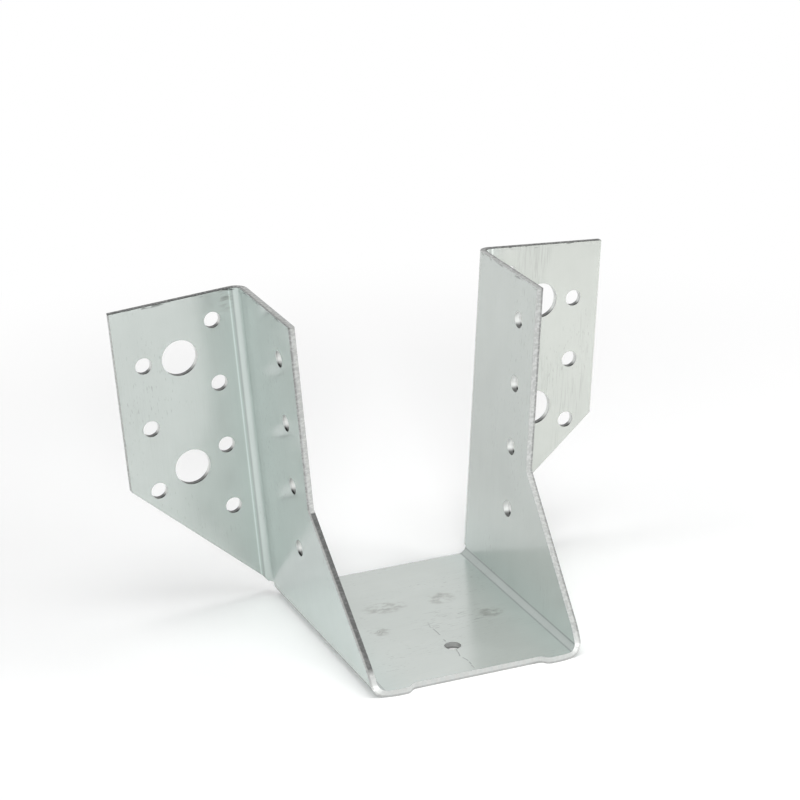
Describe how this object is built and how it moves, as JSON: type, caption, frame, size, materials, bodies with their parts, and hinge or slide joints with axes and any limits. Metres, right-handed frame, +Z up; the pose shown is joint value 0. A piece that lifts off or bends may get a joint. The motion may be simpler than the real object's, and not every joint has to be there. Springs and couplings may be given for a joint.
{
  "type": "joist hanger",
  "caption": "Folded sheet-metal joist hanger: a seat, two legs leaning slightly apart, and two outward flanges with nail and bolt holes.",
  "frame": {"origin": "middle of the bounding box in X and Y, on the underside of the seat", "axes": "+Z up along the joist's height, +X along the header to the right of the joist, +Y from the joist's seat into the header, so the flanges' back faces look along +Y"},
  "size_m": [0.1596, 0.084, 0.1],
  "materials": {
    "galvanised_sheet": "satin"
  },
  "bodies": {
    "root": {"hanger": "galvanised_sheet"}
  },
  "joints": []
}
